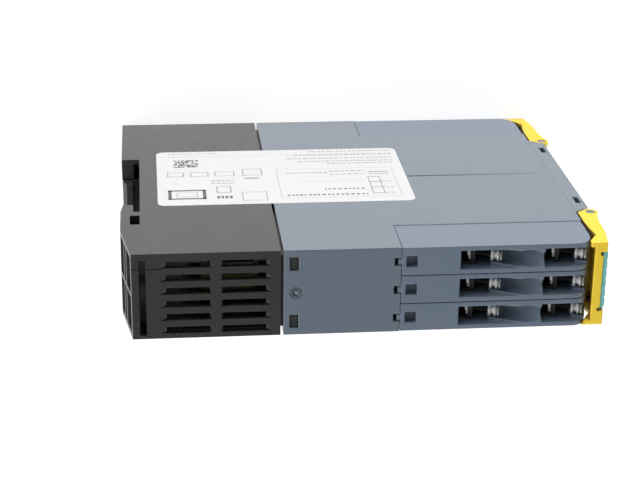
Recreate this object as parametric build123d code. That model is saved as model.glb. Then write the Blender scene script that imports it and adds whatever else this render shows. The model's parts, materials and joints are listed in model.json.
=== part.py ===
"""Safety relay for a 35 mm mounting rail: a slim housing in two shells, six plug-in terminal
blocks with cage clamps, two hinged covers and a spring-loaded rail latch.

X runs across the narrow width, +Y points to the rail and +Z up. The origin is the middle of the
lower end. Depths are counted forward from the rear face; at() turns one into a Y coordinate."""
import os
from math import cos, radians, sin

from build123d import *

# ---------------------------------------------------------------- whole device
width = 22.5
height = 100.0
wall = 1.6
fit = 0.1                   # gap between pieces that slip together and stay put
groove = 0.3                # width of a parting line

# ---------------------------------------------------------------- rear housing
rear_depth = 38.9
chamfer_depth = 2.6         # slope at the upper rear edge
chamfer_high = 16.0
back_depth = 7.3            # ribbed back, up to the hollow
rail_room = 35.3            # height of the recess for the rail
rail_drop = 1.35            # its middle lies this far below the device's middle
recess_depth = 4.9
lip_depth = 3.2             # start of the slots that take the rail's lips
hook_slot = 5.0             # how far the upper slot reaches past the recess
hook_nose = 0.6
hole_rise = 2.7             # small window above the hook's slot
hole_drop = 3.8             # and below the sloping edge
hole_depth = 2.4
end_groove_start = 4.4      # deep groove across each end
end_groove_end = 6.1
end_groove_deep = 8.0
end_groove_right = 1.7
end_groove_left = 0.9
step_line_x = 7.15          # fine line beside the slots
step_line_end = 10.0
step_line_deep = 0.4
slot_rows = 6
slot_pitch = 3.47
slot_high = 1.8
slot_start = 10.9
slot_length = 11.2
slot_bridge = 2.2           # bar between the two columns of slots
slot_flare = 1.3            # how far a slot's outer end slopes
slot_shift = -0.375         # the rows sit nearer the left side
rib = 0.8

# ---------------------------------------------------------------- snap fit between the shells
seam = 0.7
spigot_length = 2.0
spigot_wall = 1.2
window_start = 1.5          # from the seam's front edge
window_length = 2.2
window_wide = 3.6
window_apart = 15.3         # centre to centre
lug_gap = 0.2
lug_thick = 1.2

# ---------------------------------------------------------------- front housing
step_depth = 68.6           # where the full-height part ends and the terminals begin
face_depth = 117.0          # plane that the front panel sits on; what lies in front follows it
shelf = 15.0                # height of the terminals at each end
notch_deep = 1.7
notch_wide = 2.1
notch_high = 4.0
gate_forward = 3.1          # round gate mark, ahead of the shell's rear edge
gate_radius = 1.3
gate_deep = 0.45
gate_ring = 0.25            # thin ring round the mark
gate_ditch = 0.2            # and a shallow ditch round the ring
stub_radius = 0.8           # stub of the gate, off the mark's middle
stub_forward = 0.35
stub_dome = 0.3
side_line_drop = 1.0         # line on the sides, below the middle
side_line_deep = 0.25
opening_side = 8.0          # half width of the opening behind the panel
opening_edge = 8.0          # from the shelf to that opening

# ---------------------------------------------------------------- covers and their hinges
pivot_forward = 4.0         # hinge pins, in front of the face
pivot_drop = 21.5           # and below the end
pin_radius = 1.2
pin_gap = 0.05
nose_radius = 1.9
nose_turn = 12.0            # degrees up the nose where its front edge leaves it
swing_gap = 0.3
end_slope = 37.6            # degrees, panel end against the depth axis
cheek = 1.2
cheek_gap = 0.15
cover_inset = 0.2           # covers stop short of the ends
cover_side = 0.15           # and of the sides
cover_wall = 1.5
cover_back = 3.4            # cheeks' rear edge, behind the pivot
cheek_low = 6.9             # that edge runs between these two heights, one from the pivot
cheek_high = 9.5            # and one from the end
cheek_lean = 0.3
knee_forward = 0.9          # knee between the edge and the hook
knee_drop = 5.4
hook_back = 4.9
hook_edge = 1.6
hook_slope = 2.5
bulge = 1.1                 # front wall ahead of the pivot, at its three bends
bulge_up = 2.8
brow = 0.5
brow_up = 7.0
tag_foot = 0.3
bar_back = 3.8
bar_front = 0.8
bar_high = 3.0
tag_wide = 15.0
tag_right = 8.45
tag_room = 0.8              # free end of the tag's recess
tag_high = 7.5
tag_thick = 0.9
nick_wide = 0.9
nick_deep = 0.7
nick_high = 2.0

# ---------------------------------------------------------------- front panel
panel_high = 4.0            # stands this far out of the face
panel_wall = 1.4
panel_slot_low = 6.1        # side slots, from the pivot
panel_slot_high = 10.5
panel_slot_deep = 1.4
panel_slot_inset = 0.9
ear_inner = 7.4
light_wide = 1.6
light_x = 4.4
light_rise = 8.0            # lowest light above the middle
light_pitch = 4.5
lights = 3

# ---------------------------------------------------------------- terminal blocks
rows = 3
row_pitch = width / rows
row_gap = 0.25
terminal_back = 0.3         # blocks end behind the face
corner_deep = 4.2
corner_high = 5.7
terminal_gap = 0.15
tab_reach = 0.9
tab_wide = 1.5
tab_high = 2.6
levels = 2
level_pitch = 21.2
pocket_long = 8.2
pocket_wide = 5.0
pocket_deep = 9.0
channel_wide = 4.0
channel_ahead = 0.5         # the screw's channel ends this far ahead of the head
scoop_tilt = 25.0
scoop_ahead = 6.8           # the scoop's axis crosses the end face this far ahead of the head
scoop_behind = 7.2          # and it starts this far back along its axis
scoop_wide = 4.5
scoop_keel = 0.6            # its two flanks meet in a line at the bottom
ramp_rise = 1.1             # floor beside the screw, above the screw's axis
catch_inset = 1.05
catch_wide = 2.9
catch_deep = 2.0

# ---------------------------------------------------------------- cage clamp, along the screw
screw_tilt = 20.0
head_drop = 2.65            # head centre below the end face
head_back = 1.1             # and behind the block's front
head_ahead = 11.1           # and ahead of the pocket's rear wall
head_radius = 1.8
head_thick = 0.6
neck_radius = 1.1
collar_start = 0.85         # flange, waist and flange of the spool under the head
collar_thick = 0.5
collar_radius = 1.7
waist_long = 0.9
waist_radius = 1.2
seat_thick = 0.6
seat_radius = 1.8
shank_radius = 1.25
recess_wide = 0.45
recess_long = 2.4
web_thick = 0.5
web_gap = 0.15
cage_wide = 4.6
cage_up = 1.7
cage_down = 2.5
cage_side = 0.5
cage_front_wall = 1.0
cage_rear_wall = 0.7
cage_room = 2.4
cage_start = 6.7            # from the head's face
bar_wide = 3.0
bar_thick = 0.6
bar_gap = 0.15              # behind the cage's front wall
bar_shoulder = 1.3
bar_up = 2.6                # end of the narrow tongue on the bar
tongue_left = 0.15          # tongue's side, beside the middle
tongue_wide = 1.35
bar_stop = 0.8              # contact bar ends this far above the block's seat

# ---------------------------------------------------------------- rail latch
latch_half = 5.45           # half width of its channel
latch_gap = 0.25
latch_flange = 4.5          # how far its side wings reach past the channel
latch_flange_drop = 6.0      # the wings end below the recess
latch_low = 3.5
latch_nose_rise = 3.2       # the nose's top and foot, above the recess's lower wall
latch_foot_rise = 1.2
latch_nose_deep = 1.1       # depth of the slope between them
latch_thick_start = 0.15
spring_window_low = 7.0
spring_window_drop = 7.0    # window's upper edge, below the recess
spring_window_half = 2.2
ledge_low = 10.8
ledge_high = 12.2
spring_turns = 4
spring_wire = 0.5
spring_side = 1.5

# ---------------------------------------------------------------- side label
label_start = 9.6
label_end = 77.2
label_low = 25.3
label_high = 67.5
label_corner = 2.0
label_thick = 0.2

# ---------------------------------------------------------------- electronics
board_face = 5.75           # side of the main board that carries the parts
board_thick = 1.6
board_edge = 3.0            # the board's tabs, below the ends
board_shoulder = 7.0        # and the rest of its edges
board_tab_start = 20.0
board_tab_end = 33.5
board_start = 8.5
board_back = 4.0            # front board behind the face
guide_thick = 1.2
guide_side = 1.2
front_board_thick = 1.2
relay_back = 3.0            # relays behind the front board
relay_length = 36.0
relay_high = 26.0
relay_gap = 4.0
relay_deep = 12.7
coil_start = 20.0
coil_length = 14.3
coil_rise = 6.0             # above the middle
coil_high = 24.0
coil_deep = 13.0
capacitor_radius = 5.0
capacitor_long = 14.0
capacitor_depth = 22.0
capacitor_drop = 26.0        # below the middle
dip_drop = 18.0             # lower edge below the middle
dip_high = 11.5
dip_left = -5.0
dip_wide = 6.2
dip_thick = 4.0
dip_pitch = 2.54
dip_slider_wide = 1.4
dip_slider_high = 1.2
dip_slider_reach = 0.9
dip_travel = 1.6
dip_slot_deep = 1.2
led_thick = 0.8

# ---------------------------------------------------------------- derived places
half = width / 2
middle_height = height / 2
chamfer_height = height - chamfer_high
recess_low = middle_height - rail_drop - rail_room / 2
recess_high = recess_low + rail_room
hook_high = recess_high + hook_slot
hole_low = hook_high + hole_rise
hole_high = chamfer_height - hole_drop
spring_window_high = recess_low - spring_window_drop
pivot_depth = face_depth + pivot_forward
pivot_height = height - pivot_drop
panel_front = face_depth + panel_high
total_depth = pivot_depth + nose_radius
terminal_front = face_depth - terminal_back
terminal_rear = step_depth + terminal_gap
catch_start = terminal_rear + catch_inset
housing_start = rear_depth + seam
gate_depth = housing_start + gate_forward
block_wide = row_pitch - row_gap
board_front = face_depth - board_back
light_low = middle_height + light_rise
dip_low = middle_height - dip_drop
spool_end = collar_start + collar_thick + waist_long + seat_thick
bar_start = cage_start + cage_front_wall + bar_gap


def at(depth):
    """Y of a plane that lies this far in front of the rear face."""
    return total_depth / 2 - depth


def block(x, depth, z):
    """Box from its three spans."""
    size = (x[1] - x[0], depth[1] - depth[0], z[1] - z[0])
    middle = ((x[0] + x[1]) / 2, at((depth[0] + depth[1]) / 2), (z[0] + z[1]) / 2)
    return Pos(*middle) * Box(*size)


def plate(outline, x):
    """Solid between two X values whose side view is an outline of (depth, height) corners."""
    corners = [(at(depth), z) for depth, z in outline]
    face = make_face(Polyline(*corners, close=True))
    return extrude(Plane.YZ.offset(x[0]) * face, amount=x[1] - x[0])


def rod(x, depth, z, radius):
    """Round bar along X."""
    return Pos((x[0] + x[1]) / 2, at(depth), z) * Rot(0, 90, 0) * Cylinder(radius, x[1] - x[0])


def other_end(shape):
    """The same shape at the lower end: a half turn about the device's middle."""
    return Pos(0, 0, height) * Rot(0, 180, 0) * shape


def both_ends(shape):
    return shape + other_end(shape)


# ---------------------------------------------------------------- rear housing
def end_slots():
    """Louvre slots in the upper end, two columns; their outer ends slope."""
    cutters = []
    columns_end = slot_start + 2 * slot_length + slot_bridge
    for row in range(slot_rows):
        low = slot_shift + (row - (slot_rows - 1) / 2) * slot_pitch - slot_high / 2
        high = low + slot_high
        left = [(slot_start, high), (slot_start + slot_length, high),
                (slot_start + slot_length, low), (slot_start - slot_flare, low)]
        right = [(columns_end - slot_length, high), (columns_end, high),
                 (columns_end + slot_flare, low), (columns_end - slot_length, low)]
        for corners in (left, right):
            face = make_face(Polyline(*[(x, at(depth)) for depth, x in corners], close=True))
            cutters.append(extrude(Plane.XY.offset(height - wall - fit) * face, amount=2 * wall))
    return cutters


def back_pockets():
    """Open lattice on the slope of the upper rear edge: two rows of three pockets."""
    pocket = (height - chamfer_height - 2 * rib) / 2
    spans = [(chamfer_height - rib, chamfer_height + pocket - 3 * rib, end_groove_end),
             (chamfer_height + pocket - 2 * rib, height - end_groove_deep, end_groove_end),
             (height - end_groove_deep + rib, height - 1.5 * rib, end_groove_start - rib)]
    across = (-half + 1.5 * rib, -rib / 2), (rib / 2, half - 1.5 * rib)
    return [block(x, (-1, deep), (low, high)) for low, high, deep in spans for x in across]


def latch_channel():
    """Channel with side grooves for the latch, open at the rear, to the rail and downwards."""
    straight = block((-latch_half, latch_half), (-1, recess_depth), (-1, recess_low + 1))
    side = latch_half + latch_flange
    wings = block((-side, side), (lip_depth, recess_depth), (-1, recess_low + 1))
    return straight + wings


def board_guide(depth, edge):
    """Forked rib under the upper end wall that holds the main board's edge."""
    x = board_face - guide_side, board_face + board_thick + guide_side
    fork = block(x, (depth, depth + guide_thick), (height - edge - 2, height - wall))
    slot = block((board_face - fit, board_face + board_thick + fit),
                 (depth - 1, depth + guide_thick + 1), (0, height - edge + fit))
    return fork - slot


def snap_lug():
    """Tongue with a catch, on the rear housing's upper edge; two stand side by side."""
    lugs = []
    top = height - wall
    catch = (housing_start + window_start + lug_gap,
             housing_start + window_start + window_length - lug_gap)
    for side in (-1, 1):
        middle = side * window_apart / 2
        x = middle - window_wide / 2 + lug_gap, middle + window_wide / 2 - lug_gap
        tongue = block(x, (rear_depth - 2 * wall, catch[1] + lug_thick),
                       (top - fit - lug_thick, top - fit))
        root = block(x, (rear_depth - 2 * wall, rear_depth), (top - lug_thick, top))
        rise = block(x, catch, (top - lug_thick, height - 2 * lug_gap))
        lugs.append(tongue + root + rise)
    return lugs[0] + lugs[1]


def label_recess():
    return label_solid(half - label_thick, half + 1)


def make_rear_housing():
    body = plate([(0, 0), (0, chamfer_height), (chamfer_depth, height), (rear_depth, height),
                  (rear_depth, 0)], (-half, half))
    body -= block((-half + wall, half - wall), (back_depth, rear_depth + 1),
                  (wall, height - wall))
    rim = block((-half + wall, half - wall), (rear_depth - 2 * wall, rear_depth),
                (wall, height - wall))
    spigot = block((-half + wall + fit, half - wall - fit), (rear_depth, rear_depth + seam
                   + spigot_length - fit), (wall + fit, height - wall - fit))
    inside = wall + fit + spigot_wall
    bore = block((-half + inside, half - inside), (0, face_depth), (inside, height - inside))
    body += (rim + spigot) - bore
    body += both_ends(snap_lug())
    for depth in (board_tab_start, board_tab_end - guide_thick):
        body += both_ends(board_guide(depth, board_edge))
    body -= plate([(-1, recess_low), (-1, recess_high + 1), (0, hook_high - fit),
                   (hook_nose, recess_high), (lip_depth, recess_high), (lip_depth, hook_high),
                   (recess_depth, hook_high), (recess_depth, recess_low)], (-half - 1, half + 1))
    body -= block((-half - 1, half + 1), (hole_depth, recess_depth), (hole_low, hole_high))
    body -= latch_channel()
    body += block((-spring_window_half + latch_gap, spring_window_half - latch_gap),
                  (latch_thick_start + latch_gap, recess_depth), (ledge_low, ledge_high))
    for pocket in back_pockets():
        body -= pocket
    across = -half + end_groove_left, half - end_groove_right
    body -= block(across, (end_groove_start, end_groove_end), (height - end_groove_deep,
                  height + 1))
    body -= both_ends(block((step_line_x, step_line_x + groove), (0, step_line_end),
                            (height - step_line_deep, height + 1)))
    for cutter in end_slots():
        body -= cutter
        body -= other_end(cutter)
    return body - label_recess()


# ---------------------------------------------------------------- front housing
def gate_mark():
    """Cut in the upper end face: a ditch, and inside its ring a well round the domed stub."""
    middle = Pos(0, at(gate_depth), height - gate_deep / 2)
    ring = Cylinder(gate_radius, gate_deep) - Cylinder(gate_radius - gate_ring, gate_deep)
    cut = middle * (Cylinder(gate_radius + gate_ditch, gate_deep) - ring)
    dome_radius = (stub_radius ** 2 + stub_dome ** 2) / (2 * stub_dome)
    dome = Pos(0, at(gate_depth + stub_forward), height - dome_radius) * Sphere(dome_radius)
    stub = Pos(0, -stub_forward, 0) * middle * Cylinder(stub_radius, gate_deep)
    return cut - (stub & dome)


def make_front_housing():
    outline = [(housing_start, 0), (housing_start, height), (step_depth, height),
               (step_depth, height - shelf), (face_depth, height - shelf), (face_depth, shelf),
               (step_depth, shelf), (step_depth, 0)]
    body = plate(outline, (-half, half))
    x = -half + wall, half - wall
    body -= block(x, (housing_start - 1, step_depth - wall), (wall, height - wall))
    body -= block(x, (housing_start - 1, face_depth - wall), (shelf + wall, height - shelf - wall))
    body -= block((-opening_side, opening_side), (face_depth - 2 * wall, face_depth + 1),
                  (shelf + opening_edge, height - shelf - opening_edge))
    for side in (-1, 1):
        middle = side * window_apart / 2
        window = block((middle - window_wide / 2, middle + window_wide / 2),
                       (housing_start + window_start, housing_start + window_start
                        + window_length), (height - 2 * wall, height + 1))
        body = body - window - other_end(window)
    for row in range(rows):
        middle = (row - 1) * row_pitch
        notch = block((middle - notch_wide / 2, middle + notch_wide / 2),
                      (step_depth - notch_deep, step_depth + 1), (height - notch_high,
                      height + 1))
        body = body - notch - other_end(notch)
    body += both_ends(board_guide(step_depth - 3 * wall - guide_thick, board_shoulder))
    body -= both_ends(gate_mark())
    side_line_height = middle_height - side_line_drop
    for side in (-1, 1):
        corners = [(side * half, at(label_end - 2)), (side * (half - side_line_deep),
                   at(label_end - 2)), (side * half, at(face_depth))]
        line = make_face(Polyline(*corners, close=True))
        body -= extrude(Plane.XY.offset(side_line_height - groove / 2) * line, amount=groove)
    return body - label_recess()


# ---------------------------------------------------------------- label
def label_solid(low_x, high_x):
    """Sheet with rounded corners on the right-hand side."""
    long, tall = label_end - label_start, label_high - label_low
    face = RectangleRounded(long, tall, label_corner)
    middle = (at((label_start + label_end) / 2), (label_low + label_high) / 2)
    return extrude(Plane.YZ.offset(low_x) * Pos(*middle) * face, amount=high_x - low_x)


# ---------------------------------------------------------------- rail latch and its spring
def make_rail_latch():
    """Slider with a wedge nose that holds the rail's lower lip."""
    x = -latch_half + latch_gap, latch_half - latch_gap
    front = recess_depth - latch_gap
    step = lip_depth - latch_gap
    body = plate([(latch_thick_start, latch_low), (latch_thick_start, recess_low
                  + latch_foot_rise), (latch_thick_start + latch_nose_deep, recess_low
                  + latch_nose_rise), (step, recess_low + latch_nose_rise),
                  (step, recess_low - fit), (front, recess_low - fit), (front, latch_low)], x)
    side = latch_half + latch_flange - latch_gap
    body += block((-side, side), (lip_depth + latch_gap, front),
                  (latch_low, recess_low - latch_flange_drop))
    return body - block((-spring_window_half, spring_window_half), (-1, recess_depth + 1),
                        (spring_window_low, spring_window_high))


def make_latch_spring():
    """Zigzag leaf between the housing's ledge and the upper edge of the latch's window."""
    runs = 2 * spring_turns
    step = (spring_window_high - ledge_high - spring_wire) / runs
    front = latch_thick_start + 2 * latch_gap
    leaf = None
    for run in range(runs):
        side = spring_side if run % 2 else -spring_side
        low = ledge_high + run * step
        corners = [(side, low), (-side, low + step), (-side, low + step + spring_wire),
                   (side, low + spring_wire)]
        face = make_face(Polyline(*corners, close=True))
        piece = extrude(Plane.XZ.offset(-at(front)) * face,
                        amount=recess_depth - latch_gap - front)
        leaf = piece if leaf is None else leaf + piece
    return leaf


# ---------------------------------------------------------------- terminal blocks
def head_depth(level):
    """Depth of the middle of a screw's head; the front level lies nearest the front."""
    return terminal_front - head_back - (levels - 1 - level) * level_pitch


def tilted_plane(x, depth, z, tilt):
    """Plane that faces forward and, by its tilt, upward: X across, Y up and back."""
    return Plane(origin=(x, at(depth), z), x_dir=(1, 0, 0),
                 z_dir=(0, -cos(radians(tilt)), sin(radians(tilt))))


def clamp_plane(x, level):
    """Plane on a screw head's face, Z out along the screw."""
    return tilted_plane(x, head_depth(level), height - head_drop, screw_tilt)


def clamp_box(x, y, z):
    """Box in a clamp's own directions, from its three spans."""
    size = (x[1] - x[0], y[1] - y[0], z[1] - z[0])
    return Pos((x[0] + x[1]) / 2, (y[0] + y[1]) / 2, (z[0] + z[1]) / 2) * Box(*size)


def clamp_rod(radius, low, high):
    return Pos(0, 0, (low + high) / 2) * Cylinder(radius, high - low)


def contact_bar():
    """Strip that the wire is pressed against: a tongue on top, a foot down in the block."""
    drop = height - head_drop - bar_start * sin(radians(screw_tilt)) - (height - shelf + bar_stop)
    foot = -drop / cos(radians(screw_tilt)) + 1
    z = -bar_start - bar_thick, -bar_start
    strip = clamp_box((-bar_wide / 2, bar_wide / 2), (foot, bar_shoulder), z)
    return strip + clamp_box((tongue_left, tongue_left + tongue_wide), (foot, bar_up), z)


def waist_span():
    start = collar_start + collar_thick
    return start, start + waist_long


def clamp_screw():
    """Captive screw: cross-recessed head, a spool that the block holds, and a threaded shank."""
    waist = waist_span()
    body = clamp_rod(head_radius, -head_thick, 0)
    body += clamp_rod(neck_radius, -collar_start, -head_thick)
    body += clamp_rod(collar_radius, -waist[0], -collar_start)
    body += clamp_rod(waist_radius, -waist[1], -waist[0])
    body += clamp_rod(seat_radius, -spool_end, -waist[1])
    body += clamp_rod(shank_radius, -bar_start + bar_gap + fit, -spool_end)
    for long, wide in ((recess_long, recess_wide), (recess_wide, recess_long)):
        body -= clamp_box((-long / 2, long / 2), (-wide / 2, wide / 2), (-recess_wide, 1))
    return body


def clamp_cage():
    """Ring of strip round the contact bar; its front wall is threaded on the screw."""
    end = cage_start + cage_front_wall + cage_room + cage_rear_wall
    body = clamp_box((-cage_wide / 2, cage_wide / 2), (-cage_down, cage_up), (-end, -cage_start))
    inner = cage_wide / 2 - cage_side
    body -= clamp_box((-inner, inner), (-cage_down - 1, cage_up + 1),
                      (-end + cage_rear_wall, -cage_start - cage_front_wall))
    return body - clamp_rod(shank_radius + pin_gap, -cage_start - cage_front_wall - 1,
                            -cage_start + 1)


def screw_channel():
    """Round trough that the screw lies in."""
    return clamp_rod(channel_wide / 2, -cage_start, channel_ahead)


def driver_scoop():
    """Scoop that leads a driver to the head; two flanks meet in a line along the bottom."""
    flank = clamp_rod(scoop_wide / 2 + scoop_keel, -scoop_behind, level_pitch)
    return (Pos(scoop_keel, 0, 0) * flank) & (Pos(-scoop_keel, 0, 0) * flank)


def screw_web():
    """Plate across the trough that stands in the screw's waist."""
    middle = sum(waist_span()) / 2
    z = middle - web_thick / 2, middle + web_thick / 2
    web = clamp_box((-channel_wide, channel_wide), (-channel_wide, 0), (-z[1], -z[0]))
    return web - clamp_rod(waist_radius + web_gap, -z[1] - 1, -z[0] + 1)


def terminal_pocket(x, level):
    """Wire pocket, the ramp beside the screw, its channel with the web, and the scoop."""
    frame = clamp_plane(x, level)
    start = head_depth(level) - head_ahead
    across = x - pocket_wide / 2, x + pocket_wide / 2
    pocket = block(across, (start, start + pocket_long), (height - pocket_deep, height + 1))
    ramp = frame * clamp_box((-pocket_wide / 2, pocket_wide / 2), (ramp_rise, pocket_deep),
                             (pocket_long - head_ahead, pocket_deep))
    channel = frame * (screw_channel() - screw_web())
    scoop = tilted_plane(x, head_depth(level) + scoop_ahead, height, scoop_tilt) * driver_scoop()
    limit = block((x - block_wide, x + block_wide), (start + pocket_long - fit,
                  terminal_front + 1), (height - pocket_deep, height + 1))
    return pocket + ((ramp + channel + scoop) & limit)


def make_terminal(x):
    """Plug-in block of one row: clamp levels one behind the other, open to the end face."""
    low = height - shelf
    corner = EllipticalCenterArc((at(terminal_front - corner_deep), height - corner_high),
                                 corner_deep, corner_high, start_angle=90, arc_size=90)
    edge = Polyline((at(terminal_front), height - corner_high), (at(terminal_front), low),
                    (at(terminal_rear), low), (at(terminal_rear), height),
                    (at(terminal_front - corner_deep), height))
    face = make_face([corner, edge])
    body = extrude(Plane.YZ.offset(x - block_wide / 2) * face, amount=block_wide)
    body += block((x - tab_wide / 2, x + tab_wide / 2), (terminal_rear - tab_reach,
                  terminal_rear + 1), (height - tab_high, height - fit))
    for level in range(levels):
        body -= terminal_pocket(x, level)
        body -= clamp_plane(x, level) * contact_bar()
    body -= block((x - catch_wide / 2, x + catch_wide / 2), (catch_start, catch_start
                  + catch_wide), (height - catch_deep, height + 1))
    return body


# ---------------------------------------------------------------- covers, tags and hinges
def from_pivot(points):
    """Outline given from the upper hinge pin, forward and up, as (depth, height) corners."""
    return [(pivot_depth + forward, pivot_height + up) for forward, up in points]


reach = pivot_drop - cover_inset
slope_forward = cos(radians(end_slope)), -sin(radians(end_slope))
slope_normal = -sin(radians(end_slope)), -cos(radians(end_slope))
front_edge = [(bulge, bulge_up), (brow, brow_up), (tag_foot, reach - tag_high),
              (-bar_front, reach)]


def on_slope(distance, forward):
    """Point of the panel end's slope, at a distance from the pin and a place in depth."""
    foot = slope_normal[0] * distance, slope_normal[1] * distance
    along = (forward - foot[0]) / slope_forward[0]
    return forward, foot[1] + along * slope_forward[1]


def cheek_outline():
    """Side view of a cover, round from the hook's end."""
    tangent = slope_normal[0] * nose_radius, slope_normal[1] * nose_radius
    knee = -cover_back + knee_forward, reach - knee_drop
    back_edge = [(-hook_back, reach), (-hook_back, reach - hook_edge),
                 (-cover_back, reach - hook_edge - hook_slope), knee,
                 (-cover_back + cheek_lean, reach - cheek_high), (-cover_back, cheek_low)]
    nose = nose_radius * cos(radians(nose_turn)), nose_radius * sin(radians(nose_turn))
    return back_edge + [on_slope(nose_radius, -cover_back), tangent, (0, 0), nose] + front_edge


def make_cover():
    """Upper cover: two cheeks on the pins, a front wall and an end bar with hooks."""
    outer = half - cover_side
    inner_x = outer - cheek
    cheeks = None
    for side in (-1, 1):
        x = sorted((side * outer, side * inner_x))
        piece = plate(from_pivot(cheek_outline()), x) + rod(x, pivot_depth, pivot_height,
                                                           nose_radius)
        piece -= rod((x[0] - 1, x[1] + 1), pivot_depth, pivot_height, pin_radius + pin_gap)
        cheeks = piece if cheeks is None else cheeks + piece
    inner = [(forward - cover_wall, up) for forward, up in front_edge]
    across = -inner_x, inner_x
    body = cheeks + plate(from_pivot(front_edge + inner[::-1]), across)
    body += plate(from_pivot([(-bar_back, reach), (-bar_front, reach),
                              (-bar_front, reach - bar_high), (-bar_back, reach - bar_high)]),
                  across)
    left = tag_right - tag_wide
    body -= tag_plane() * tag_box((left - fit - tag_room, tag_right + fit), tag_high + fit,
                                  1, bar_high)
    for low in (left - fit - tag_room, tag_right + fit - nick_wide):
        nick = tag_box((low, low + nick_wide), nick_high, 1, bar_high)
        body -= tag_plane() * Pos(0, 0, -nick_deep) * nick
    return body


def tag_plane():
    """Plane on the front wall's sloping face: Z outwards, Y up the slope to the end."""
    low, high = from_pivot(front_edge[2:])
    rise, back = high[1] - low[1], low[0] - high[0]
    return Plane(origin=(0, at(high[0]), high[1]), x_dir=(1, 0, 0), z_dir=(0, -rise, back))


def tag_box(x, high, past_end, proud):
    """Box on that plane, sunk by the tag's thickness, down from near the end."""
    size = (x[1] - x[0], high + past_end, proud + tag_thick)
    return Pos((x[0] + x[1]) / 2, (past_end - high) / 2, (proud - tag_thick) / 2) * Box(*size)


def make_tag():
    """Marking strip let into the cover's front."""
    return tag_plane() * tag_box((tag_right - tag_wide, tag_right), tag_high, -fit, 0)


# ---------------------------------------------------------------- front panel
def make_front_panel():
    """Cap between the covers, with an ear and pin at each corner for their hinges."""
    top_rear = on_slope(nose_radius + swing_gap, face_depth - pivot_depth)
    top_front = on_slope(nose_radius + swing_gap, panel_front - pivot_depth)
    upper = from_pivot([top_rear, top_front])
    lower = [(depth, height - z) for depth, z in reversed(upper)]
    body = plate(upper + lower, (-half, half))
    body -= block((-half + panel_wall, half - panel_wall), (0, panel_front - panel_wall),
                  (height - upper[1][1] + panel_wall, upper[1][1] - panel_wall))
    for side in (-1, 1):
        x = sorted((side * ear_inner, side * (half - cover_side - cheek - cheek_gap)))
        ear = rod(x, pivot_depth, pivot_height, nose_radius - swing_gap)
        ear += plate(from_pivot([(-nose_radius + swing_gap, 0), (-cover_back, -panel_wall),
                                 (-cover_back, -2 * nose_radius), (0, -2 * nose_radius),
                                 (nose_radius - swing_gap, 0)]), x)
        pin = rod(sorted((side * ear_inner, side * (half - cover_side - fit))), pivot_depth,
                  pivot_height, pin_radius)
        body += both_ends(ear + pin)
        slot = block(sorted((side * (half + 1), side * (half - 2 * panel_wall))),
                     (panel_front - panel_slot_inset - panel_slot_deep,
                      panel_front - panel_slot_inset),
                     (pivot_height - panel_slot_high, pivot_height - panel_slot_low))
        body = body - slot - other_end(slot)
    for place in range(lights):
        z = light_low + place * light_pitch
        body -= block((light_x - light_wide / 2, light_x + light_wide / 2),
                      (panel_front - 2 * panel_wall, panel_front + 1),
                      (z - light_wide / 2, z + light_wide / 2))
    body -= block((dip_left - fit, dip_left + dip_wide + fit),
                  (panel_front - 2 * panel_wall, panel_front + 1),
                  (dip_low - fit, dip_low + dip_high + fit))
    return body


# ---------------------------------------------------------------- electronics
dip_start = board_front + front_board_thick
dip_end = dip_start + dip_thick


def make_main_board():
    shelf_edge = shelf + wall + fit
    step = step_depth - wall - fit
    lower = [(board_front, shelf_edge), (step, shelf_edge), (step, board_shoulder),
             (board_tab_end, board_shoulder), (board_tab_end, board_edge),
             (board_tab_start, board_edge), (board_tab_start, board_shoulder),
             (board_start, board_shoulder)]
    upper = [(depth, height - z) for depth, z in reversed(lower)]
    return plate(lower + upper, (board_face, board_face + board_thick))


def make_front_board():
    edge = shelf + 2 * wall
    return block((-half + wall + fit, half - wall - fit), (board_front, dip_start),
                 (edge, height - edge))


def make_relay(place):
    low = middle_height + relay_gap / 2 - (1 - place) * (relay_gap + relay_high)
    end = board_front - relay_back
    return block((board_face - relay_deep, board_face), (end - relay_length, end),
                 (low, low + relay_high))


def make_coil():
    """Converter coil: a core round a winding."""
    coil_low = middle_height + coil_rise
    core = block((board_face - coil_deep, board_face), (coil_start, coil_start + coil_length),
                 (coil_low, coil_low + coil_high))
    gap = coil_high / 4
    x = board_face - coil_deep - 1, board_face - coil_deep / 4
    for low in (coil_low + gap / 2, coil_low + coil_high - 1.5 * gap):
        core -= block(x, (coil_start - 1, coil_start + coil_length + 1), (low, low + gap))
    return core


def make_capacitor():
    return rod((board_face - capacitor_long, board_face), capacitor_depth,
               middle_height - capacitor_drop, capacitor_radius)


def light_span(place):
    z = light_low + place * light_pitch
    return z - light_wide / 2, z + light_wide / 2


def make_status_lights():
    x = light_x - light_wide / 2, light_x + light_wide / 2
    return [block(x, (dip_start, dip_start + led_thick), light_span(place))
            for place in range(lights)]


def make_light_guides():
    x = light_x - light_wide / 2, light_x + light_wide / 2
    return [block(x, (dip_start + led_thick, panel_front), light_span(place))
            for place in range(lights)]


def dip_switch_span(place):
    middle = dip_low + dip_high / 2 + (place - 1.5) * dip_pitch
    return middle - dip_slider_high / 2, middle + dip_slider_high / 2


def make_dip_body():
    x = dip_left, dip_left + dip_wide
    body = block(x, (dip_start, dip_end), (dip_low, dip_low + dip_high))
    middle = dip_left + dip_wide / 2
    side = (dip_slider_wide + dip_travel) / 2 + fit
    for place in range(4):
        low, high = dip_switch_span(place)
        body -= block((middle - side, middle + side), (dip_end - dip_slot_deep, dip_end + 1),
                      (low - fit, high + fit))
    return body


def make_dip_slider(place):
    middle = dip_left + dip_wide / 2 - dip_travel / 2
    return block((middle - dip_slider_wide / 2, middle + dip_slider_wide / 2),
                 (dip_end - dip_slot_deep + fit, dip_end + dip_slider_reach),
                 dip_switch_span(place))


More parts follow.
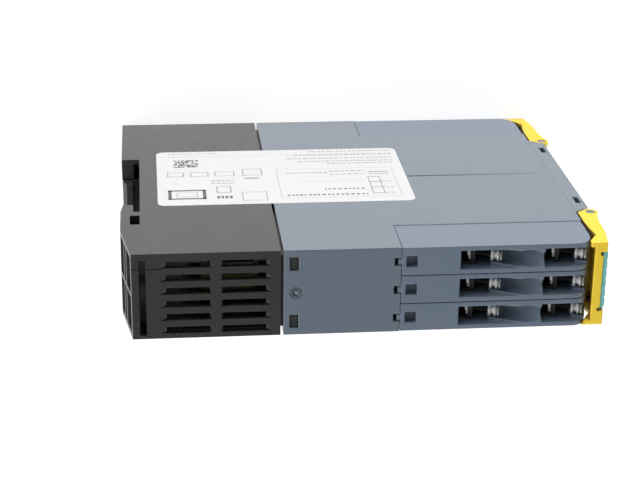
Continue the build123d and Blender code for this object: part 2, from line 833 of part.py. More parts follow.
# ---------------------------------------------------------------- all pieces
def all_nodes():
    nodes = {
        "rear_housing": make_rear_housing(),
        "front_housing": make_front_housing(),
        "front_panel": make_front_panel(),
        "rail_latch": make_rail_latch(),
        "latch_spring": make_latch_spring(),
        "side_label": label_solid(half - label_thick, half),
        "top_cover": make_cover(),
        "bottom_cover": other_end(make_cover()),
        "top_tag": make_tag(),
        "bottom_tag": other_end(make_tag()),
        "main_board": make_main_board(),
        "front_board": make_front_board(),
        "relay_1": make_relay(0),
        "relay_2": make_relay(1),
        "converter_coil": make_coil(),
        "capacitor": make_capacitor(),
        "status_lights": Compound(children=make_status_lights()),
        "light_guides": Compound(children=make_light_guides()),
        "dip_switch_body": make_dip_body(),
    }
    for place in range(4):
        nodes[f"dip_slider_{place + 1}"] = make_dip_slider(place)
    for end, turn in (("top", lambda shape: shape), ("bottom", other_end)):
        for row in range(rows):
            x = (1 - row) * row_pitch
            name = f"{end}_terminal_{row + 1}"
            nodes[name] = turn(make_terminal(x))
            bars = [clamp_plane(x, level) * contact_bar() for level in range(levels)]
            nodes[f"{end}_contacts_{row + 1}"] = turn(Compound(children=bars))
            for level, place in enumerate(("rear", "front")):
                frame = clamp_plane(x, level)
                nodes[f"{end}_screw_{row + 1}_{place}"] = turn(frame * clamp_screw())
                nodes[f"{end}_clamp_{row + 1}_{place}"] = turn(frame * clamp_cage())
    return nodes


os.makedirs("parts", exist_ok=True)
for name, shape in all_nodes().items():
    export_step(shape, f"parts/{name}.step")
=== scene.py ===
import json
from math import atan2, cos, pi, radians, sin
from random import Random

import bmesh
import bpy
from mathutils import Matrix, Vector


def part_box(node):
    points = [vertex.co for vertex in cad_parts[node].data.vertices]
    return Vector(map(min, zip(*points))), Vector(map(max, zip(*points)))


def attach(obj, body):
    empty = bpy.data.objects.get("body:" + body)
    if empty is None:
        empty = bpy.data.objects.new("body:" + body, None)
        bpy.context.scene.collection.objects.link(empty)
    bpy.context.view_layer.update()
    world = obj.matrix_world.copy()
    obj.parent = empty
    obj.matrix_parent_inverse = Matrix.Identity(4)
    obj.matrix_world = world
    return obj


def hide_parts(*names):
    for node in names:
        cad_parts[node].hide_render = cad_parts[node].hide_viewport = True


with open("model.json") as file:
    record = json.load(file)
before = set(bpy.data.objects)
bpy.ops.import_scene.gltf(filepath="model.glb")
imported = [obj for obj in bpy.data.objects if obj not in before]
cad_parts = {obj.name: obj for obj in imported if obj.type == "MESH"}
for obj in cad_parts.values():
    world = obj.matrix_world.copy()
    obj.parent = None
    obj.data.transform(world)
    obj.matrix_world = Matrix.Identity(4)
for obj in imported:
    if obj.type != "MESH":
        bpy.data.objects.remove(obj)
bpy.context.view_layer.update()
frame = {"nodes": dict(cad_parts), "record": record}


# ---- Rear housing ----
# The black half that clips to the rail, with louvred ends and a ribbed slope at its rear edge.
# It is one moulding of glass-filled polyamide with a fine spark-eroded skin, slightly cloudy
# where the melt ran. Each slot of the louvres runs out in a short slope at both of its ends.
MM = 0.001
mix_first, mix_second, mix_result = 6, 7, 2    # a Mix node's sockets for two colours


def wired(tree, kind, inputs, **traits):
    """Add a node to a tree; each input gets a plain value or the output that feeds it."""
    node = tree.nodes.new(kind)
    for trait, value in traits.items():
        setattr(node, trait, value)
    for socket, feed in inputs.items():
        if isinstance(feed, bpy.types.NodeSocket):
            tree.links.new(feed, node.inputs[socket])
        else:
            node.inputs[socket].default_value = feed
    return node


def shader_of(material):
    return material.node_tree.nodes["Principled BSDF"]


def mixed_colour(tree, share, first, second):
    """Run from one colour to the other; each may be a colour or an output."""
    first, second = [c if isinstance(c, bpy.types.NodeSocket) else (*c, 1)
                     for c in (first, second)]
    return wired(tree, "ShaderNodeMix", {0: share, mix_first: first, mix_second: second},
                 data_type="RGBA").outputs[mix_result]


def noise(tree, place, count, detail):
    """Noise with so many lumps to the metre."""
    return wired(tree, "ShaderNodeTexNoise", {"Vector": place, "Scale": count,
                                              "Detail": detail}).outputs["Fac"]


def moulded_plastic(name, colour, rough, mottle=0.04, grain=0.25, gloss=0.5, soft_edge=0.35):
    """Moulding with a cloudy tone, a fine skin rubbed here and there, and soft edges."""
    material = bpy.data.materials.new(name)
    material.use_nodes = True
    tree, shader = material.node_tree, shader_of(material)
    shader.inputs["Specular IOR Level"].default_value = gloss
    place = wired(tree, "ShaderNodeTexCoord", {}).outputs["Object"]
    clouds = noise(tree, place, 38, 3)
    pits = noise(tree, place, 2400, 2)
    rubs = noise(tree, place, 120, 2)
    tone = mixed_colour(tree, clouds, [c * (1 - mottle) for c in colour],
                        [min(1, c * (1 + mottle)) for c in colour])
    tree.links.new(tone, shader.inputs["Base Color"])

    wear = wired(tree, "ShaderNodeMath", {0: pits, 1: 0.5, 2: rubs}, operation="MULTIPLY_ADD")
    spread = wired(tree, "ShaderNodeMapRange", {
        "Value": wear.outputs["Value"], "From Min": 0.4, "From Max": 1.1,
        "To Min": rough * 0.88, "To Max": rough * 1.12})
    tree.links.new(spread.outputs["Result"], shader.inputs["Roughness"])

    bump = wired(tree, "ShaderNodeBump", {"Height": pits, "Strength": grain,
                                          "Distance": 0.03 * MM})
    if soft_edge:
        edge = wired(tree, "ShaderNodeBevel", {"Radius": soft_edge * MM}, samples=4)
        tree.links.new(edge.outputs["Normal"], bump.inputs["Normal"])
    tree.links.new(bump.outputs["Normal"], shader.inputs["Normal"])
    return material


def break_edges(piece, width):
    """Take the sharpness off a piece's edges, as a mould or a tumbling drum does."""
    bevel = piece.modifiers.new("broken edges", "BEVEL")
    bevel.width = width * MM
    bevel.segments = 2
    bevel.limit_method = "ANGLE"
    bevel.angle_limit = radians(40)
    bevel.harden_normals = True


def dress(node, material, edge=0.12):
    """Give a CAD node its finish and broken edges."""
    piece = frame["nodes"][node]
    piece.data.materials.clear()
    piece.data.materials.append(material)
    if edge:
        break_edges(piece, edge)


def add_slab(mesh, face, back):
    """Add a closed solid between two outlines with as many corners, in millimetres."""
    face, back = [[mesh.verts.new([c * MM for c in corner]) for corner in outline]
                  for outline in (face, back)]
    mesh.faces.new(face)
    mesh.faces.new(back[::-1])
    for k in range(len(face)):
        after = (k + 1) % len(face)
        mesh.faces.new((face[after], face[k], back[k], back[after]))


def finished(mesh, name, material):
    """Turn a bmesh into an object with its finish."""
    data = bpy.data.meshes.new(name)
    bmesh.ops.recalc_face_normals(mesh, faces=mesh.faces)
    mesh.to_mesh(data)
    mesh.free()
    data.materials.append(material)
    piece = bpy.data.objects.new(name, data)
    bpy.context.scene.collection.objects.link(piece)
    return piece


black_plastic = moulded_plastic("black plastic", (0.0315, 0.0295, 0.029), 0.28, mottle=0.06,
                                gloss=0.65, soft_edge=0.2)
dress("rear_housing", black_plastic)

rear_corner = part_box("rear_housing")[1]
rear_y, end_height = rear_corner.y / MM, rear_corner.z / MM
slot_rows, slot_pitch, slot_high, row_shift = 6, 3.47, 1.8, -0.375
slot_start, slot_length, slot_bridge, slot_flare = 10.9, 11.2, 2.2, 1.3
slope_long, slope_lip, slope_foot = 0.5, 0.6, 1.5
tip_sunk, shoulder_sunk, square_sunk, lip_past = 0.08, 0.12, 0.1, 0.15


def on_end(up, depth, across, sunk):
    """Point below an end face; up is 1 at the upper end and -1 at the lower, a half turn on."""
    middle = end_height / 2
    return up * across, rear_y - depth, middle + up * (middle - sunk)


slopes = bmesh.new()
for row in range(slot_rows):
    low = row_shift + (row - (slot_rows - 1) / 2) * slot_pitch - slot_high / 2
    high = low + slot_high
    for outer, way in ((slot_start, 1), (slot_start + 2 * slot_length + slot_bridge, -1)):
        inner = outer + way * slot_length
        flared_end = ((outer - way * slot_flare, low, tip_sunk), (outer, high, shoulder_sunk),
                      (outer + way * lip_past, low, slope_lip))
        square_end = ((inner, low, square_sunk), (inner, high, square_sunk),
                      (inner - way * slope_long, high, slope_lip),
                      (inner - way * slope_long, low, slope_lip))
        for slope in (flared_end, square_end):
            for up in (1, -1):
                add_slab(slopes, [on_end(up, *corner) for corner in slope],
                         [on_end(up, *corner[:2], slope_foot) for corner in slope])
slot_slopes = finished(slopes, "slot_slopes", black_plastic)
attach(slot_slopes, "root")


# ---- Rail latch ----
# A flat black slider in a channel of the rear housing, with a wedge nose that holds the rail's
# lip. It is acetal, smoother than the housing, and its zigzag spring bears on a ledge.
latch_plastic = moulded_plastic("black acetal", (0.03, 0.03, 0.031), 0.34, grain=0.08)
dress("rail_latch", latch_plastic)
dress("latch_spring", latch_plastic, 0)


# ---- Front housing ----
# The blue-grey half that holds the boards, cut back at each end for three terminal blocks.
# It is the same polyamide in another colour, with the same fine skin and snap windows.
# A dark strip on each side at the parting, thinning to the front, is painted shadow of the step.
grey_plastic = moulded_plastic("blue-grey plastic", (0.141, 0.180, 0.227), 0.22, gloss=1.0,
                               soft_edge=0.55)
dress("front_housing", grey_plastic)

# Painted shadow: a thin dark strip laid along the step where the two halves meet.
painted_joint_shadow = moulded_plastic("joint shade", (0.03, 0.04, 0.055), 0.6, soft_edge=0)
side_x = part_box("front_housing")[1].x / MM
joint_height, joint_proud = 49.0, 0.01
joint_rear = {"depth": 77.3, "half_wide": 0.34, "sunk": 0.2}
joint_front = {"depth": 113.0, "half_wide": 0.06, "sunk": 0.04}


def joint_end(side, depth, half_wide, sunk):
    """Outline of one end of the line, square to the housing's side."""
    return [(side * (side_x + out), rear_y - depth, joint_height + rise)
            for out, rise in ((-sunk, -half_wide), (-sunk, half_wide),
                              (joint_proud, half_wide), (joint_proud, -half_wide))]


for side, name in ((-1, "left"), (1, "right")):
    line = bmesh.new()
    add_slab(line, joint_end(side, **joint_rear), joint_end(side, **joint_front))
    piece = finished(line, f"{name}_joint_line", painted_joint_shadow)
    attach(piece, "root")


# ---- Terminal blocks ----
# Six plug-in blocks, one for each row at each end, with a wire pocket and a driver trough for each
# clamp. They are moulded polyamide in the housing's colour and catch in it with a hooked tab.
block_plastic = moulded_plastic("block plastic", (0.152, 0.196, 0.262), 0.3, gloss=0.8)
for end in ("top", "bottom"):
    for row in (1, 2, 3):
        dress(f"{end}_terminal_{row}", block_plastic, 0.1)


# ---- Cage clamps and contact strips ----
# Each wire goes into a bent steel cage that the screw lifts against a tinned copper strip.
# The cages are passivated zinc made near-black as painted shade of the deep pocket; the strips are
# bright where sheared.
def plated_metal(name, colour, rough, streak, metallic=1.0):
    """Plated metal with a worked grain along one direction and a little unevenness."""
    material = bpy.data.materials.new(name)
    material.use_nodes = True
    tree, shader = material.node_tree, shader_of(material)
    shader.inputs["Metallic"].default_value = metallic
    place = wired(tree, "ShaderNodeTexCoord", {}).outputs["Object"]
    drawn = wired(tree, "ShaderNodeMapping", {"Vector": place, "Scale": streak})
    grain = noise(tree, drawn.outputs["Vector"], 900, 3)
    tone = mixed_colour(tree, grain, [c * 0.86 for c in colour],
                        [min(1, c * 1.1) for c in colour])
    tree.links.new(tone, shader.inputs["Base Color"])
    spread = wired(tree, "ShaderNodeMapRange", {"Value": grain, "To Min": rough * 0.7,
                                                "To Max": rough * 1.4})
    tree.links.new(spread.outputs["Result"], shader.inputs["Roughness"])
    bump = wired(tree, "ShaderNodeBump", {"Height": grain, "Strength": 0.15,
                                          "Distance": 0.02 * MM})
    tree.links.new(bump.outputs["Normal"], shader.inputs["Normal"])
    return material


# Painted shade: the cages' finish is made near-black for the shade inside the pocket.
shaded_zinc = plated_metal("shaded zinc", (0.08, 0.078, 0.078), 0.45, (1, 0.2, 0.2))
tinned_copper = plated_metal("tinned copper", (0.88, 0.86, 0.82), 0.3, (0.2, 1, 1),
                             metallic=0.5)
for name in frame["nodes"]:
    if "_clamp_" in name:
        dress(name, shaded_zinc, 0.08)
    elif "_contacts_" in name:
        dress(name, tinned_copper, 0.05)


# ---- Clamp screws ----
# A cross-and-slot head, then a spool whose waist stands in the block's web so the screw stays
# put, then the thread that drives the cage. They are turned steel with bright zinc plate; the
# head is painted darker and the thread near-black, a painted shade of the pocket round them.
screw_tilt = radians(20)
thread_pitch = 0.5
thread_start, thread_end = -3.0, -7.5
thread_root, thread_crest = 1.0, 1.24
screw_outline = [(0, 0.0), (1.5, 0.0), (1.72, -0.06), (1.8, -0.16), (1.8, -0.5), (1.72, -0.6),
                 (1.1, -0.6), (1.1, -0.85), (1.58, -0.85), (1.68, -0.92), (1.7, -1.0),
                 (1.7, -1.25), (1.62, -1.35), (1.2, -1.37), (1.2, -2.23), (1.68, -2.25),
                 (1.78, -2.33), (1.8, -2.42), (1.8, -2.75), (1.72, -2.85), (1.0, -2.9),
                 (1.0, -7.3), (0.75, -7.55), (0, -7.55)]
# Heights where the painted shade of the head and of the thread begin.
head_under, thread_shade_from = -0.7, -2.88
blade_half, blade_reach, blade_deep = 0.22, 1.2, 0.42
cross_reach, cross_deep = 0.9, 0.55
above_head = 1
first_turn, next_turn = 40, 67    # degrees, so that no two screws stand alike


def turned(outline, steps):
    """Shape turned on a lathe from (radius, height) points, standing on the Z axis."""
    mesh = bmesh.new()
    rings = []
    for radius, z in outline:
        if radius == 0:
            rings.append([mesh.verts.new((0, 0, z * MM))])
        else:
            rings.append([mesh.verts.new((radius * cos(2 * pi * k / steps) * MM,
                                          radius * sin(2 * pi * k / steps) * MM, z * MM))
                          for k in range(steps)])
    for upper, lower in zip(rings, rings[1:]):
        for k in range(steps):
            after = (k + 1) % steps
            if len(upper) == 1:
                mesh.faces.new((upper[0], lower[k], lower[after]))
            elif len(lower) == 1:
                mesh.faces.new((upper[k], lower[0], upper[after]))
            else:
                mesh.faces.new((upper[k], lower[k], lower[after], upper[after]))
    return mesh


def add_thread(mesh, root, crest, pitch, start, end, steps=20):
    """Run a V-shaped ridge round the shank, fading in and out over half a turn."""
    count = int((start - end) / pitch * steps)
    foot = root - 0.02    # a little inside the shank
    foot_half, crest_half = pitch * 0.42, pitch * 0.08
    rows = []
    for k in range(count + 1):
        fade = min(1, 2 * k / steps, 2 * (count - k) / steps)
        angle = 2 * pi * k / steps
        z = start - pitch * k / steps
        ridge = root + (crest - root) * fade
        rows.append([mesh.verts.new((r * cos(angle) * MM, r * sin(angle) * MM, (z + rise) * MM))
                     for r, rise in ((foot, foot_half), (ridge, crest_half),
                                     (ridge, -crest_half), (foot, -foot_half))])
    for first, second in zip(rows, rows[1:]):
        for i in range(3):
            mesh.faces.new((first[i], first[i + 1], second[i + 1], second[i]))


def add_box(mesh, x, y, z):
    """Add a box to a mesh from its three spans in millimetres."""
    add_slab(mesh, *[[(a, y[0], z[0]), (a, y[0], z[1]), (a, y[1], z[1]), (a, y[1], z[0])]
                     for a in x])


def cut_away(piece, cutter):
    """Cut one object out of another and drop the cutter."""
    cut = piece.modifiers.new("cut", "BOOLEAN")
    cut.operation = "DIFFERENCE"
    cut.object = cutter
    cut.solver = "EXACT"
    bpy.context.view_layer.update()
    shaped = bpy.data.meshes.new_from_object(
        piece.evaluated_get(bpy.context.evaluated_depsgraph_get()))
    piece.modifiers.clear()
    piece.data = shaped
    bpy.data.objects.remove(cutter)


def joint_place(name):
    """Where a joint of the record stands, in metres."""
    return next(joint["pos_m"] for joint in frame["record"]["behaviour"]["joints"]
                if joint["name"] == name)


bright_zinc = plated_metal("bright zinc", (0.96, 0.96, 0.94), 0.32, (1, 1, 0.3), metallic=0.4)
shader_of(bright_zinc).inputs["Coat Weight"].default_value = 0.6
shader_of(bright_zinc).inputs["Coat Roughness"].default_value = 0.12
# Painted shade: the head and the thread get darker finishes than the spool, for the pocket's
# shade.
shaded_head = plated_metal("shaded head", (0.5, 0.49, 0.47), 0.22, (1, 1, 0.3))
shaded_thread = plated_metal("shaded thread", (0.05, 0.048, 0.045), 0.3, (1, 1, 0.3))

pattern = finished(turned(screw_outline, 32), "screw_pattern", bright_zinc)
cross = bmesh.new()
add_box(cross, (-blade_reach, blade_reach), (-blade_half, blade_half), (-blade_deep, above_head))
add_box(cross, (-blade_half, blade_half), (-cross_reach, cross_reach), (-cross_deep, above_head))
cut_away(pattern, finished(cross, "cross", bright_zinc))
screw_mesh = pattern.data
bpy.data.objects.remove(pattern)
screw_mesh.materials.append(shaded_thread)
screw_mesh.materials.append(shaded_head)
screw = bmesh.new()
screw.from_mesh(screw_mesh)
add_thread(screw, thread_root, thread_crest, thread_pitch, thread_start, thread_end)
for face in screw.faces:
    height = face.calc_center_median().z / MM
    if height < thread_shade_from:
        face.material_index = 1
    elif height > head_under:
        face.material_index = 2
screw.to_mesh(screw_mesh)
screw.free()
screw_mesh.shade_smooth()
screw_mesh.set_sharp_from_angle(angle=radians(35))

for number, name in enumerate(sorted(n for n in frame["nodes"] if "_screw_" in n)):
    up = 1 if name.startswith("top") else -1
    out = Vector((0, -cos(screw_tilt), up * sin(screw_tilt)))
    across = Vector((1, 0, 0))
    stand = Matrix((across, out.cross(across), out)).transposed().to_4x4()
    piece = bpy.data.objects.new(f"{name}_turned", screw_mesh)
    bpy.context.scene.collection.objects.link(piece)
    piece.matrix_world = (Matrix.Translation(joint_place(f"{name}_turn")) @ stand
                          @ Matrix.Rotation(radians(first_turn + next_turn * number), 4, "Z"))
    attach(piece, name)
    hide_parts(name)


# ---- Circuit boards ----
# A main board stands along the right wall and a small front board carries lights and switches.
# Both are glass-epoxy laminate: green solder mask on the faces and raw straw-brown edges.
def laminate(name, across):
    """Board with masked faces, a faint weave and bare edges; across is its thin direction."""
    material = moulded_plastic(name, (0.012, 0.075, 0.03), 0.28, mottle=0.12, grain=0.05,
                               soft_edge=0)
    tree, shader = material.node_tree, shader_of(material)
    mask = shader.inputs["Base Color"].links[0].from_socket
    normal = wired(tree, "ShaderNodeTexCoord", {}).outputs["Normal"]
    facing = wired(tree, "ShaderNodeSeparateXYZ", {"Vector": normal}).outputs[across]
    square = wired(tree, "ShaderNodeMath", {0: facing}, operation="ABSOLUTE")
    on_face = wired(tree, "ShaderNodeMath", {0: square.outputs["Value"], 1: 0.7},
                    operation="GREATER_THAN")
    surface = mixed_colour(tree, on_face.outputs["Value"], (0.30, 0.29, 0.23), mask)
    tree.links.new(surface, shader.inputs["Base Color"])
    return material


dress("main_board", laminate("main laminate", "X"), 0.05)
dress("front_board", laminate("front laminate", "Y"), 0.05)


# ---- Relays ----
# Two safety relays with forced contacts, soldered to the main board. Their cases are moulded in
# white polyester and sealed with resin.
relay_plastic = moulded_plastic("relay case", (0.72, 0.71, 0.66), 0.3, grain=0.04)
for number in (1, 2):
    dress(f"relay_{number}", relay_plastic, 0.3)


# ---- Converter coil and capacitor ----
# The supply's ferrite core with a winding under polyester tape, and beside it a capacitor: an
# aluminium can in a dark shrunk sleeve. Both are soldered to the main board.
winding_tape = moulded_plastic("winding tape", (0.27, 0.27, 0.09), 0.35, mottle=0.1, grain=0.1)
dress("converter_coil", winding_tape, 0.2)
can_sleeve = moulded_plastic("can sleeve", (0.03, 0.035, 0.06), 0.25, grain=0.02)
dress("capacitor", can_sleeve, 0.4)


# ---- Status lights and their guides ----
# Small light-emitting dice in clear epoxy on the front board, each behind a polished clear rod
# that brings the light to the front panel.
clear_epoxy = moulded_plastic("clear epoxy", (0.62, 0.68, 0.5), 0.15, grain=0.0)
dress("status_lights", clear_epoxy, 0.05)
clear_rod = moulded_plastic("clear rod", (0.72, 0.8, 0.75), 0.08, mottle=0.01, grain=0.0,
                            soft_edge=0)
shader_of(clear_rod).inputs["Transmission Weight"].default_value = 0.75
dress("light_guides", clear_rod, 0.1)


# ---- Mode switch ----
# A four-way slide switch on the front board: a red body with white sliders, each moved with the
# point of a pen. Both are moulded nylon.
switch_red = moulded_plastic("switch body", (0.36, 0.02, 0.018), 0.3, grain=0.03)
dress("dip_switch_body", switch_red, 0.1)
slider_white = moulded_plastic("switch slider", (0.8, 0.8, 0.77), 0.3, grain=0.02)
for number in (1, 2, 3, 4):
    dress(f"dip_slider_{number}", slider_white, 0.08)


# ---- Front panel ----
# The raised grey front between the covers, with an ear and a pin at each corner for their
# hinges and windows for the light rods and the switch. It is moulded like the housing and snaps
# onto it.
dress("front_panel", grey_plastic, 0.12)


# ---- Side label ----
# A white printed film with round corners, stuck in a shallow recess of the right side.
# The print is thin grey ink: rows of plain dashes, a frame and a simple diagram of contacts.
film = moulded_plastic("white film", (0.745, 0.735, 0.75), 0.3, mottle=0.012, grain=0.02,
                       soft_edge=0)
dress("side_label", film, 0)
dark_ink = moulded_plastic("grey ink", (0.11, 0.11, 0.12), 0.4, mottle=0.1, grain=0.02,
                           soft_edge=0)
pale_ink = moulded_plastic("pale ink", (0.34, 0.34, 0.36), 0.4, mottle=0.1, grain=0.02,
                           soft_edge=0)
ink_thick = 0.012
ink_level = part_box("side_label")[1].x / MM + ink_thick
rng = Random(7)


def stroke(mesh, depth, height):
    """Flat patch of ink from its span of depth from the rear edge and its span of height."""
    corners = ((depth[0], height[0]), (depth[1], height[0]), (depth[1], height[1]),
               (depth[0], height[1]))
    mesh.faces.new([mesh.verts.new((ink_level * MM, (rear_y - d) * MM, h * MM))
                    for d, h in corners])


def dashes(mesh, depth, height, wide, long=(0.5, 1.5), gap=(0.25, 0.5)):
    """Row of short dashes of uneven length."""
    start = depth[0]
    while start < depth[1]:
        reach = min(depth[1], start + rng.uniform(*long))
        stroke(mesh, (start, reach), (height, height + wide))
        start = reach + rng.uniform(*gap)


def outline_box(mesh, depth, height, thick):
    """Box drawn in four strokes."""
    stroke(mesh, depth, (height[0], height[0] + thick))
    stroke(mesh, depth, (height[1] - thick, height[1]))
    stroke(mesh, (depth[0], depth[0] + thick), height)
    stroke(mesh, (depth[1] - thick, depth[1]), height)


dark_print = bmesh.new()
cell_long, cell_high, cells_long, cells_high = 0.42, 0.66, 16, 9
dots_depth, dots_height = 14.3, 32.4
for up in range(cells_high):
    for along in range(cells_long):
        if rng.random() < 0.5:
            depth, height = dots_depth + along * cell_long, dots_height + up * cell_high
            stroke(dark_print, (depth, depth + cell_long), (height, height + cell_high))
for depth, height in (((67.2, 72.6), (44.6, 45.0)), ((33.0, 37.2), (47.7, 48.3))):
    stroke(dark_print, depth, height)
for rung in (48.6, 52.6, 56.8, 61.4):
    stroke(dark_print, (66.6, 69.8), (rung, rung + 0.3))
for rail in (66.6, 69.6):
    stroke(dark_print, (rail, rail + 0.18), (48.6, 61.7))
outline_box(dark_print, (12.4, 22.4), (56.2, 63.2), 0.9)
for depth, height, wide, long, gap in (((43.8, 65.2), 61.4, 0.9, (0.5, 0.9), (0.35, 0.7)),
                                       ((54.0, 65.0), 57.4, 0.75, (0.5, 0.9), (0.35, 0.7)),
                                       ((25.2, 29.4), 61.2, 1.8, (0.6, 0.8), (0.35, 0.4))):
    dashes(dark_print, depth, height, wide, long, gap)

pale_print = bmesh.new()
dashes(pale_print, (12.9, 26.3), 26.9, 0.45)
for depth, height in (((52.0, 76.0), 26.9), ((48.1, 75.6), 29.9), ((45.9, 75.3), 32.7),
                      ((48.8, 75.1), 35.2), ((56.6, 75.2), 37.2), ((44.9, 56.0), 44.5),
                      ((56.6, 66.3), 43.5), ((56.6, 66.3), 46.0), ((67.2, 73.0), 46.2),
                      ((24.1, 30.3), 49.2), ((24.1, 30.3), 51.2)):
    dashes(pale_print, depth, height, 0.6)
for depth, height in (((10.6, 75.6), 29.5), ((48.2, 66.0), 51.7)):
    stroke(pale_print, depth, (height, height + 0.12))
for depth, height, thick in (((12.4, 16.9), (42.4, 45.9), 0.3), ((18.6, 23.6), (42.4, 45.9), 0.3),
                             ((25.2, 30.6), (42.4, 45.9), 0.3), ((32.8, 38.2), (40.6, 45.8), 0.3),
                             ((31.8, 38.4), (58.6, 65.0), 0.25),
                             ((25.2, 29.2), (54.0, 58.8), 0.35),
                             ((14.6, 20.2), (58.2, 61.4), 0.2),
                             ((42.1, 74.1), (41.4, 63.9), 0.12),
                             ((69.9, 72.5), (52.1, 53.1), 0.16),
                             ((69.9, 72.5), (56.7, 57.7), 0.16),
                             ((69.9, 72.5), (61.1, 62.1), 0.16)):
    outline_box(pale_print, depth, height, thick)

for print_mesh, name, ink in ((dark_print, "label_print_dark", dark_ink),
                              (pale_print, "label_print_pale", pale_ink)):
    piece = finished(print_mesh, name, ink)
    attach(piece, "root")


# ---- Terminal covers ----
# Each end has a hinged cover over its screws, with two cheeks that swing on the panel's pins and
# hook round the terminals. They are bright yellow polycarbonate, thin enough for light to soak
# through, hollow under the front bar and stiffened by a rib. Their corners and gaps are painted
# dark brown as painted shade.
yellow_plastic = moulded_plastic("yellow plastic", (1.0, 0.70, 0.05), 0.45, mottle=0.02,
                                 grain=0.05, gloss=0.35)
tree, shader = yellow_plastic.node_tree, shader_of(yellow_plastic)
shader.inputs["Subsurface Weight"].default_value = 0.06
shader.inputs["Subsurface Radius"].default_value = (1.0, 0.7, 0.25)
shader.inputs["Subsurface Scale"].default_value = 3 * MM
clean_yellow = shader.inputs["Base Color"].links[0].from_socket
# Painted shade: where the cover's walls crowd together, the base colour runs to dark brown.
nook = wired(tree, "ShaderNodeAmbientOcclusion", {"Distance": 3 * MM}, samples=8)
open_air = wired(tree, "ShaderNodeMapRange", {"Value": nook.outputs["AO"], "From Min": 0.4,
                                              "From Max": 0.75})
corner_shaded_yellow = mixed_colour(tree, open_air.outputs["Result"], (0.16, 0.10, 0.06), clean_yellow)
tree.links.new(corner_shaded_yellow, shader.inputs["Base Color"])

pivot = joint_place("top_cover_hinge")
pivot_y, pivot_z = pivot[1] / MM, pivot[2] / MM
cheek_thick = 1.2
cheek_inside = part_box("top_cover")[1].x / MM - cheek_thick
inside = (-cheek_inside, cheek_inside)
bar_back, bar_front, flange_low, bar_low = 3.8, 1.9, 20.4, 18.2    # all from the pivot
rib_front, rib_low, rib_high = 0.3, 7.6, 8.4
hook_back, hook_low, longer_hook = 4.85, 20.55, 1.2
cut_past = 0.5
hair = 0.001    # closer corners than this are one

moulding_mesh = bmesh.new()
moulding_mesh.from_mesh(frame["nodes"]["top_cover"].data)
bmesh.ops.remove_doubles(moulding_mesh, verts=moulding_mesh.verts, dist=hair * MM)
for corner in moulding_mesh.verts:
    if corner.co.x < -(cheek_inside + hair) * MM and corner.co.y > (pivot_y + hook_back) * MM:
        corner.co.y += longer_hook * MM
        corner.co.z = max(corner.co.z, (pivot_z + hook_low) * MM)
moulding_pattern = finished(moulding_mesh, "cover_pattern", yellow_plastic)
hollow = bmesh.new()
add_box(hollow, inside, (pivot_y + bar_front, pivot_y + bar_back + cut_past),
        (pivot_z + bar_low, pivot_z + flange_low))
cut_away(moulding_pattern, finished(hollow, "relief", yellow_plastic))
rib_mesh = bmesh.new()
add_box(rib_mesh, inside, (pivot_y + rib_front, pivot_y + bar_back),
        (pivot_z + rib_low, pivot_z + rib_high))
rib_pattern = finished(rib_mesh, "rib_pattern", yellow_plastic)

half_turn = Matrix.Translation((0, 0, end_height * MM)) @ Matrix.Rotation(pi, 4, "Y")
for end in ("top", "bottom"):
    moulding = bpy.data.objects.new(f"{end}_cover_moulding", moulding_pattern.data)
    rib = bpy.data.objects.new(f"{end}_cover_rib", rib_pattern.data)
    for piece in (moulding, rib):
        bpy.context.scene.collection.objects.link(piece)
        if end == "bottom":
            piece.matrix_world = half_turn
        break_edges(piece, 0.15)
        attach(piece, f"{end}_cover")
    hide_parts(f"{end}_cover")
for pattern in (moulding_pattern, rib_pattern):
    bpy.data.objects.remove(pattern)


# ---- Marking strips ----
# A teal strip clips into the outer edge of each cover, with a row of blank raised pads for the
# terminals' marks. It is polycarbonate, printed by the panel builder.
teal_plastic = moulded_plastic("teal plastic", (0.205, 0.62, 0.61), 0.38, mottle=0.03,
                               grain=0.05)
strip_left, strip_wide = -6.55, 15.0
pads, pad_gap, pad_proud, pad_sunk, pad_round = 6, 0.4, 0.3, 0.3, 0.3
pad_from, pad_to = -6.7, -0.5    # from the strip's upper edge
edge_back, edge_up = 0.8, 21.3    # the strip's upper edge, from the pivot
strip_back, strip_rise = 1.1, 7.5    # how far it falls back over its height
lean = atan2(strip_back, strip_rise)
pitch = strip_wide / pads
upper_edge = Vector(pivot) + Vector((0, edge_back, edge_up)) * MM
stand = Matrix.Translation(upper_edge) @ Matrix.Rotation(pi / 2 - lean, 4, "X")
for end, place in (("top", stand), ("bottom", half_turn @ stand)):
    dress(f"{end}_tag", teal_plastic, 0.06)
    pad_row = bmesh.new()
    for pad in range(pads):
        left = strip_left + pad * pitch
        add_box(pad_row, (left + pad_gap / 2, left + pitch - pad_gap / 2), (pad_from, pad_to),
                (-pad_sunk, pad_proud))
    piece = finished(pad_row, f"{end}_marking_pads", teal_plastic)
    piece.matrix_world = place
    rounded = piece.modifiers.new("rounded pads", "BEVEL")
    rounded.width = pad_round * MM
    rounded.segments = 3
    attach(piece, f"{end}_cover")


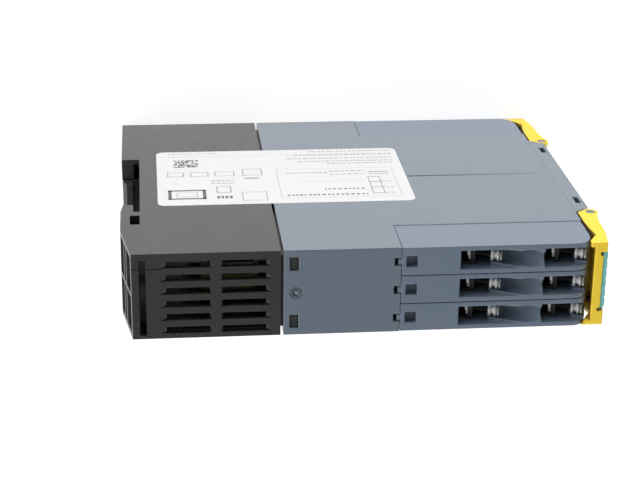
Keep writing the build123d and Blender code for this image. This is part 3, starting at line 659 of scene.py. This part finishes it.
# ---- Studio ----
# A white table and a white room, with a long soft lamp along the right side and one at the
# front. The table shows white with the object's shadow on it, and white in reflections. The
# camera stands over the upper end, to the right.
bpy.ops.mesh.primitive_plane_add(size=6, location=(0, 0, 0))
floor = bpy.context.object
floor.name = "floor"
table_white = bpy.data.materials.new("white table")
table_white.use_nodes = True
tree, matte = table_white.node_tree, shader_of(table_white)
matte.inputs["Base Color"].default_value = (0.5, 0.5, 0.5, 1)
matte.inputs["Roughness"].default_value = 0.9
veil = wired(tree, "ShaderNodeEmission", {"Strength": 0.74})
veiled = wired(tree, "ShaderNodeAddShader", {0: veil.outputs[0], 1: matte.outputs[0]})
white = wired(tree, "ShaderNodeEmission", {})
ray = wired(tree, "ShaderNodeLightPath", {})
surface = matte
for kind, shown in (("Is Camera Ray", veiled), ("Is Glossy Ray", white),
                    ("Is Transmission Ray", white)):
    surface = wired(tree, "ShaderNodeMixShader", {0: ray.outputs[kind], 1: surface.outputs[0],
                                                  2: shown.outputs[0]})
tree.links.new(surface.outputs[0], tree.nodes["Material Output"].inputs["Surface"])
floor.data.materials.append(table_white)

world = bpy.data.worlds.new("studio")
bpy.context.scene.world = world
world.use_nodes = True
tree = world.node_tree
room = tree.nodes["Background"]
room.inputs["Color"].default_value = (1, 1, 1, 1)
heading = wired(tree, "ShaderNodeTexCoord", {}).outputs["Generated"]
towards = wired(tree, "ShaderNodeSeparateXYZ", {"Vector": heading}).outputs
level = wired(tree, "ShaderNodeMapRange", {
    "Value": towards["Z"], "From Min": 0.25, "From Max": 0.65, "To Min": 3.0,
    "To Max": 0.36}, interpolation_type="SMOOTHSTEP").outputs["Result"]
for axis, behind, ahead in (("Y", 0.3, 1.4), ("X", 1.5, 0.4)):
    drift = wired(tree, "ShaderNodeMapRange", {"Value": towards[axis], "From Min": -1,
                                               "To Min": behind, "To Max": ahead})
    level = wired(tree, "ShaderNodeMath", {0: level, 1: drift.outputs["Result"]},
                  operation="MULTIPLY").outputs["Value"]
capped = wired(tree, "ShaderNodeMath", {0: level, 1: 1}, operation="MINIMUM")
ray = wired(tree, "ShaderNodeLightPath", {})
for kind, shown in (("Is Glossy Ray", capped.outputs["Value"]), ("Is Transmission Ray", 1),
                    ("Is Camera Ray", 1)):
    level = wired(tree, "ShaderNodeMix", {"Factor": ray.outputs[kind], "A": level,
                                          "B": shown}).outputs["Result"]
tree.links.new(level, room.inputs["Strength"])


def soft_lamp(name, place, size, power):
    """Long flat lamp that looks at the object."""
    data = bpy.data.lights.new(name, "AREA")
    data.shape = "RECTANGLE"
    data.size, data.size_y = size
    data.energy = power
    lamp = bpy.data.objects.new(name, data)
    lamp.location = place
    aim = Vector((0, 0, 0.06))
    lamp.rotation_euler = (aim - Vector(place)).to_track_quat("-Z", "Y").to_euler()
    bpy.context.scene.collection.objects.link(lamp)


soft_lamp("side strip", (0.8, -0.05, 0.06), (1.2, 0.1), 4.75)
soft_lamp("front strip", (0.05, -0.8, 0.06), (0.8, 0.1), 1.5)

camera_place = Vector((0.16737, 0.05338, 0.47733))
camera_right = Vector((0.01336, -0.99481, 0.10088))
camera_up = Vector((0.92690, -0.02552, -0.37444))
camera_back = Vector((0.37507, 0.09851, 0.92175))
lens = bpy.data.cameras.new("camera")
lens.sensor_width = 36
lens.lens = 94.96
lens.clip_start = 0.01
camera = bpy.data.objects.new("camera", lens)
camera.matrix_world = Matrix((camera_right, camera_up, camera_back)).transposed().to_4x4()
camera.location = camera_place
bpy.context.scene.collection.objects.link(camera)
bpy.context.scene.camera = camera
bpy.context.scene.view_settings.view_transform = "Standard"
